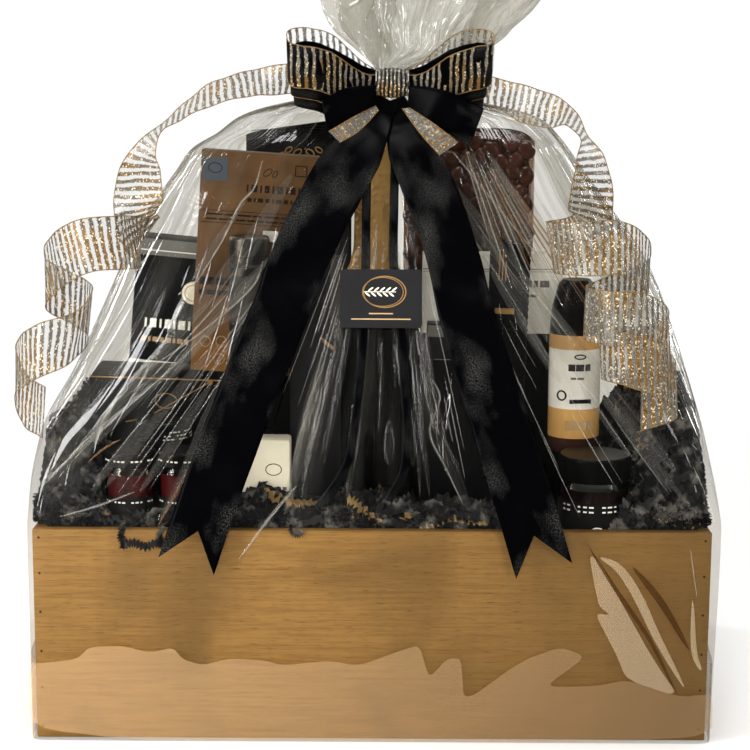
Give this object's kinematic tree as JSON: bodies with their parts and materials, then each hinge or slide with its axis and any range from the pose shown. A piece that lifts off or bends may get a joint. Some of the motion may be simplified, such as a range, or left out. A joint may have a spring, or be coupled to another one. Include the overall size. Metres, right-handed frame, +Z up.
{
  "type": "wine gift basket",
  "caption": "Rectangular wooden crate of crinkled paper shred holding a wine bottle and upright food packs, wrapped in clear film gathered at the neck under a ribbon bow.",
  "frame": {"origin": "middle of the underside of the wrapped crate", "axes": "+Z up, -Y the front that the tag and the ribbon tails hang on, +X to the right of a viewer in front"},
  "size_m": [0.5023, 0.3288, 0.5841],
  "materials": {
    "clear_film": "clear glossy film",
    "pine": "satin stained wood",
    "paper_shred": "crinkled matt paper",
    "dark_glass": "gloss",
    "clear_glass": "gloss",
    "gold_foil": "crinkled gold foil",
    "pewter": "brushed",
    "black_card": "satin",
    "grey_card": "satin",
    "white_card": "matt",
    "brown_card": "satin",
    "cream_paper": "matt",
    "black_wrap": "gloss",
    "black_lid": "gloss",
    "red_jam": "moist",
    "dark_spread": "moist",
    "chocolate_bag": "clear bag over brown pieces",
    "sausage_wrap": "glossy sleeve",
    "striped_ribbon": "sheer ribbon with glitter stripes",
    "satin_ribbon": "black satin"
  },
  "bodies": {
    "root": {"film_wrap": "clear_film", "crate_front": "pine", "crate_back": "pine", "crate_left": "pine", "crate_right": "pine", "crate_floor": "pine", "wine_bottle": "dark_glass", "bottle_foil": "gold_foil", "bottle_bag": "clear_film", "gift_box_low": "black_card", "chocolate_carton": "brown_card", "cracker_carton": "black_card", "dark_carton_left": "grey_card", "dark_carton_right": "grey_card", "white_carton": "white_card", "black_box_right": "black_card", "wafer_bar": "black_wrap", "truffle_pouch": "black_wrap", "chocolate_bag": "chocolate_bag", "cheese_pack": "cream_paper", "salami_stick": "sausage_wrap", "canister_base": "black_wrap", "canister_body": "clear_glass", "canister_lid": "pewter", "canister_stand_box": "black_card", "jam_jar_left_glass": "clear_glass", "jam_jar_left_filling": "red_jam", "jam_jar_left_lid": "black_lid", "jam_jar_right_glass": "clear_glass", "jam_jar_right_filling": "red_jam", "jam_jar_right_lid": "black_lid", "spread_jar_glass": "clear_glass", "spread_jar_filling": "dark_spread", "spread_jar_lid": "black_lid", "black_tin": "black_lid", "paper_shred": "paper_shred", "loop_striped_left": "striped_ribbon", "loop_striped_right": "striped_ribbon", "loop_satin_left": "satin_ribbon", "loop_satin_right": "satin_ribbon", "loop_satin_low_left": "satin_ribbon", "loop_satin_low_right": "satin_ribbon", "bow_knot": "striped_ribbon", "neck_tie": "satin_ribbon", "satin_tail_left": "satin_ribbon", "satin_tail_right": "satin_ribbon", "narrow_ribbon_left": "satin_ribbon", "narrow_ribbon_right": "satin_ribbon", "satin_fold_left": "satin_ribbon", "satin_fold_right": "satin_ribbon", "short_tail_left": "striped_ribbon", "short_tail_right": "striped_ribbon", "curl_ribbon_left": "striped_ribbon", "curl_ribbon_right": "striped_ribbon", "gift_tag": "black_card"}
  },
  "joints": []
}
